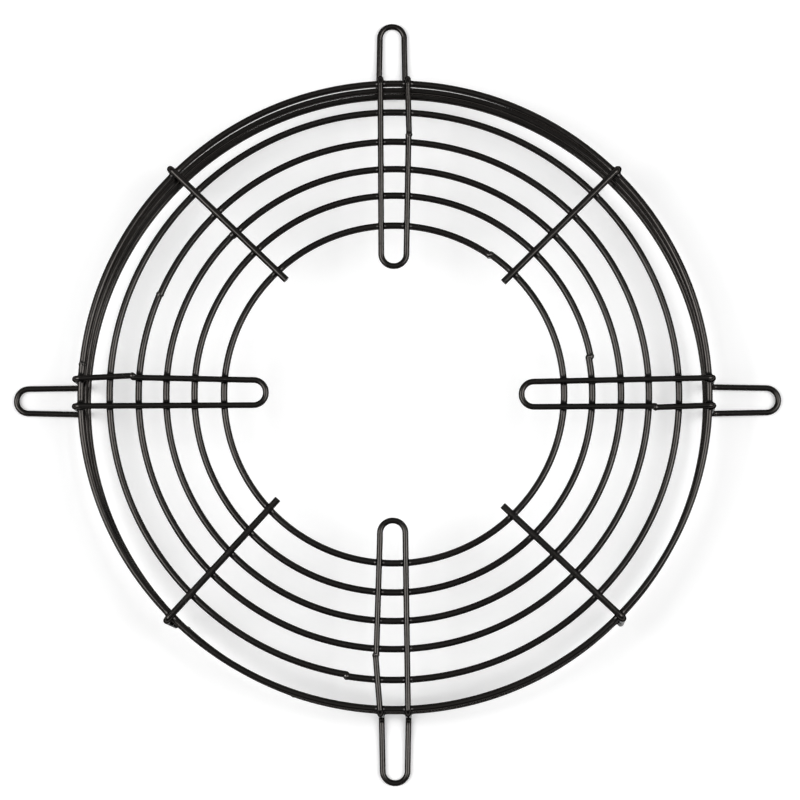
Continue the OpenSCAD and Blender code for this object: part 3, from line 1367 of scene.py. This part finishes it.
@dataclass
class FanGuard:
    """The whole guard: its rings, hairpins and stays, and their coatings.

    Attributes:
        sizes: Sizes that its wires share.
        ring_coat: Coating of the rings.
        hairpin_coat: Coating of the hairpins.
        stay_coat: Coating of the stays.
    """

    sizes: GuardSizes
    ring_coat: CoatFinish = CoatFinish("ring_coat")
    hairpin_coat: CoatFinish = CoatFinish("hairpin_coat", gloss=0.10, dull=0.17, lines=0.16)
    stay_coat: CoatFinish = CoatFinish("stay_coat", gloss=0.10, dull=0.18)

    def rings(self) -> list[Ring]:
        """Sets out the rings.

        Returns:
            The rings, from the innermost to the rear ring of the wall.
        """
        s = self.sizes
        return [
            Ring(s, "face_ring_1", ButtJoint(55.2, -0.4)),
            Ring(s, "face_ring_2", ButtJoint(10.5, 0.7)),
            Ring(s, "face_ring_3", ButtJoint(135.3, 0.3)),
            Ring(s, "face_ring_4", ButtJoint(156.8, 0.2)),
            Ring(s, "face_ring_5", ButtJoint(260.5, 0.6)),
            Ring(s, "rim_ring", ButtJoint(174.5, 0.1), aside=(0.4, 0.0)),
            Ring(s, "wall_ring_middle", ButtJoint(251.0, 0.2), leaning=True, aside=(0.2, -0.4)),
            Ring(s, "wall_ring_rear", ButtJoint(227.5, -0.2), leaning=True, aside=(-0.1, -0.4)),
        ]

    def spokes(self) -> list[GuardWire]:
        """Sets out the wires across the rings.

        Returns:
            The hairpins and the stays, each turning left from the top.
        """
        s = self.sizes
        return [
            Hairpin(s, "hairpin_top", Side.TOP, 0.1, 0.2, -0.8, -0.9, 0.2, 0.5, 0.2),
            Hairpin(s, "hairpin_left", Side.LEFT, 0.2, 0.4, -0.1, 0.4, -0.9, 0.6, 0.7),
            Hairpin(s, "hairpin_bottom", Side.BOTTOM, 0.4, -0.1, 0.0, -0.1, -0.7, 1.4, 0.3),
            Hairpin(s, "hairpin_right", Side.RIGHT, 0.6, -0.3, 0.0, -0.3, 1.0, 0.1, 0.5),
            Stay(s, "stay_top_right", Corner.TOP_RIGHT, 0.0, -0.3),
            Stay(s, "stay_top_left", Corner.TOP_LEFT, -0.3, 1.3),
            Stay(s, "stay_bottom_left", Corner.BOTTOM_LEFT, 0.1, 2.4, -0.7),
            Stay(s, "stay_bottom_right", Corner.BOTTOM_RIGHT, 0.3, 1.4, 0.8),
        ]

    def build(self, effects: Effects) -> list[bpy.types.Object]:
        """Makes and dresses every wire.

        Args:
            effects: The shader groups.

        Returns:
            The pieces.
        """
        rings, spokes = self.rings(), self.spokes()
        ring_paths, spoke_paths = [r.path() for r in rings], [p.path() for p in spokes]
        ring_cloud, spoke_cloud = WireCloud(ring_paths), WireCloud(spoke_paths)
        coats = {
            Ring: self.ring_coat.material(effects),
            Hairpin: self.hairpin_coat.material(effects),
            Stay: self.stay_coat.material(effects),
        }
        pieces = []
        for wire, path in zip(rings + spokes, ring_paths + spoke_paths):
            others = spoke_cloud if isinstance(wire, Ring) else ring_cloud
            piece = wire.dress(path, others, coats[type(wire)])
            log.info("%s: %.0f mm of wire, %d faces", piece.name, path.total, len(piece.data.polygons))
            pieces.append(piece)
        return pieces


# ---- Studio ----


@dataclass(frozen=True)
class Softbox:
    """A large soft lamp over the guard.

    Attributes:
        name: Name of the lamp.
        place: Where its middle stands, in metres.
        size: Its width and height, in metres.
        aim: The point that it is turned to, in metres.
        radiance: Brightness of its face, where a white floor is about 1.
    """

    name: str
    place: tuple[float, float, float]
    size: tuple[float, float]
    aim: tuple[float, float, float]
    radiance: float

    def build(self) -> bpy.types.Object:
        """Makes the lamp.

        Returns:
            The lamp's object.
        """
        lamp = bpy.data.lights.new(self.name, "AREA")
        lamp.shape = "RECTANGLE"
        lamp.size, lamp.size_y = self.size
        lamp.energy = self.radiance * math.pi * self.size[0] * self.size[1]
        holder = set_down(self.name, lamp)
        holder.location = self.place
        holder.rotation_mode = "QUATERNION"
        holder.rotation_quaternion = (Vector(self.aim) - Vector(self.place)).to_track_quat("-Z", "Y")
        return holder


@dataclass(frozen=True)
class Floor:
    """The plain pale floor that the guard lies on.

    Attributes:
        width: Its width and depth, in metres.
        colour: Its colour.
        lift: Paleness that it gains near the guard, where 1 is white.
        lit_reach: Distance from the guard at which it starts to turn white, in metres.
        white_reach: Distance at which it is white.
    """

    width: float = 12.0
    colour: tuple[float, float, float] = (0.93, 0.93, 0.93)
    lift: float = 0.19
    lit_reach: float = 0.6
    white_reach: float = 2.4

    def build(self) -> bpy.types.Object:
        """Makes the floor.

        Returns:
            The floor.
        """
        half = self.width / 2
        corners = [(-half, -half, 0), (half, -half, 0), (half, half, 0), (-half, half, 0)]
        mesh = bpy.data.meshes.new("floor")
        mesh.from_pydata(corners, [], [(0, 1, 2, 3)])
        mesh.materials.append(self.paper())
        floor = set_down("floor", mesh)
        return floor

    def paper(self) -> bpy.types.Material:
        """Builds the floor's material, which turns white away from the guard.

        Returns:
            The material.
        """
        material = bpy.data.materials.new("floor_paper")
        sheet = NodeSheet.of(material)
        paper = sheet.add("ShaderNodeBsdfDiffuse")
        paper.inputs["Color"].default_value = (*self.colour, 1.0)
        place = sheet.add("ShaderNodeTexCoord")
        reach = sheet.add("ShaderNodeVectorMath", operation="LENGTH")
        sheet.link(place.outputs["Object"], reach.inputs[0])
        lift = sheet.spread(reach.outputs["Value"], self.lit_reach, self.white_reach, self.lift, 1.0)
        glow = sheet.add("ShaderNodeEmission")
        sheet.link(sheet.math("MULTIPLY", sheet.seen_rays(), lift), glow.inputs["Strength"])
        both = sheet.add("ShaderNodeAddShader")
        sheet.link(paper.outputs[0], both.inputs[0])
        sheet.link(glow.outputs[0], both.inputs[1])
        sheet.finish("ShaderNodeOutputMaterial", both.outputs[0])
        return material


@dataclass(frozen=True)
class Room:
    """The room round the guard: dim, with a pale backdrop and a soft glow on the ceiling.

    Attributes:
        near: Colour of the walls in front, towards -Y.
        far: Colour of the walls behind, towards +Y.
        ceiling: Colour of the ceiling.
        depth_band: Where the walls turn from near to far, along Y of the direction.
        ceiling_band: Where the walls turn into the ceiling, along Z of the direction.
        backdrop_band: Where the white backdrop turns into the walls, along Z of the direction.
    """

    near: tuple[float, float, float] = (0.09, 0.09, 0.09)
    far: tuple[float, float, float] = (0.21, 0.21, 0.21)
    ceiling: tuple[float, float, float] = (0.48, 0.48, 0.48)
    depth_band: tuple[float, float] = (-0.6, 0.6)
    ceiling_band: tuple[float, float] = (0.75, 0.97)
    backdrop_band: tuple[float, float] = (0.04, 0.24)

    def build(self) -> bpy.types.World:
        """Makes the world.

        Returns:
            The world, given to the scene.
        """
        world = bpy.data.worlds.new("room")
        sheet = NodeSheet.of(world)
        direction = sheet.add("ShaderNodeTexCoord")
        split = sheet.add("ShaderNodeSeparateXYZ")
        sheet.link(direction.outputs["Generated"], split.inputs[0])
        _, y, z = split.outputs
        wall = sheet.mix(sheet.spread(y, *self.depth_band, 0.0, 1.0), (*self.near, 1.0), (*self.far, 1.0))
        backdrop = sheet.math("MULTIPLY", sheet.spread(z, *self.backdrop_band, 1.0, 0.0), sheet.seen_rays())
        wall = sheet.mix(backdrop, wall, (1.0, 1.0, 1.0, 1.0))
        room = sheet.mix(sheet.spread(z, *self.ceiling_band, 0.0, 1.0), wall, (*self.ceiling, 1.0))
        background = sheet.add("ShaderNodeBackground")
        sheet.link(room, background.inputs["Color"])
        sheet.finish("ShaderNodeOutputWorld", background.outputs[0])
        bpy.context.scene.world = world
        return world


@dataclass(frozen=True)
class Viewpoint:
    """The camera, nearly straight over the guard and a little below it.

    Attributes:
        place: Where it stands, in metres.
        tilt: Its turn about X, Y and Z, in degrees.
        lens: Its focal length, in millimetres.
        sensor: Width of its sensor, in millimetres.
        clip: The nearest and the farthest distance that it shows, in metres.
    """

    place: tuple[float, float, float] = (0.01224, -0.11647, 1.18743)
    tilt: tuple[float, float, float] = (5.638, 0.497, -0.051)
    lens: float = 140.62
    sensor: float = 36.0
    clip: tuple[float, float] = (0.01, 100.0)

    def build(self) -> bpy.types.Object:
        """Makes the camera and gives it to the scene.

        Returns:
            The camera's object.
        """
        camera = bpy.data.cameras.new("camera")
        camera.lens, camera.sensor_width, camera.sensor_fit = self.lens, self.sensor, "HORIZONTAL"
        camera.clip_start, camera.clip_end = self.clip
        stand = set_down("camera", camera)
        stand.location = self.place
        stand.rotation_euler = [math.radians(angle) for angle in self.tilt]
        bpy.context.scene.camera = stand
        return stand


@dataclass
class Studio:
    """What stands round the guard.

    Attributes:
        floor: The floor that it lies on.
        room: The room round it.
        viewpoint: The camera.
        lamps: The lamps.
    """

    floor: Floor = Floor()
    room: Room = Room()
    viewpoint: Viewpoint = Viewpoint()
    lamps: tuple[Softbox, ...] = (
        Softbox("softbox_left", (-1.44, -0.16, 1.4), (1.66, 1.2), (-1.44, -0.16, 0.0), 5.1),
        Softbox("softbox_right", (1.44, -0.02, 1.4), (1.66, 1.1), (1.44, -0.02, 0.0), 5.0),
    )

    def build(self) -> None:
        """Sets up the studio."""
        self.floor.build()
        self.room.build()
        for lamp in self.lamps:
            lamp.build()
        self.viewpoint.build()
        bpy.context.scene.view_settings.view_transform = "Standard"


def main() -> None:
    """Builds the guard and its studio, and reports each piece."""
    logging.basicConfig(level=logging.INFO, format="%(name)s: %(message)s", stream=sys.stdout)
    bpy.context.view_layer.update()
    Studio().build()
    effects = Effects(DrawnWire(), CoatFlow(), WeldMarks(), ShopDust())
    guard = FanGuard(GuardSizes.from_frame())
    pieces = guard.build(effects)
    log.info("%d pieces, %d triangles", len(pieces), sum(len(p.data.polygons) * 2 for p in pieces))


if __name__ == "__main__":
    main()
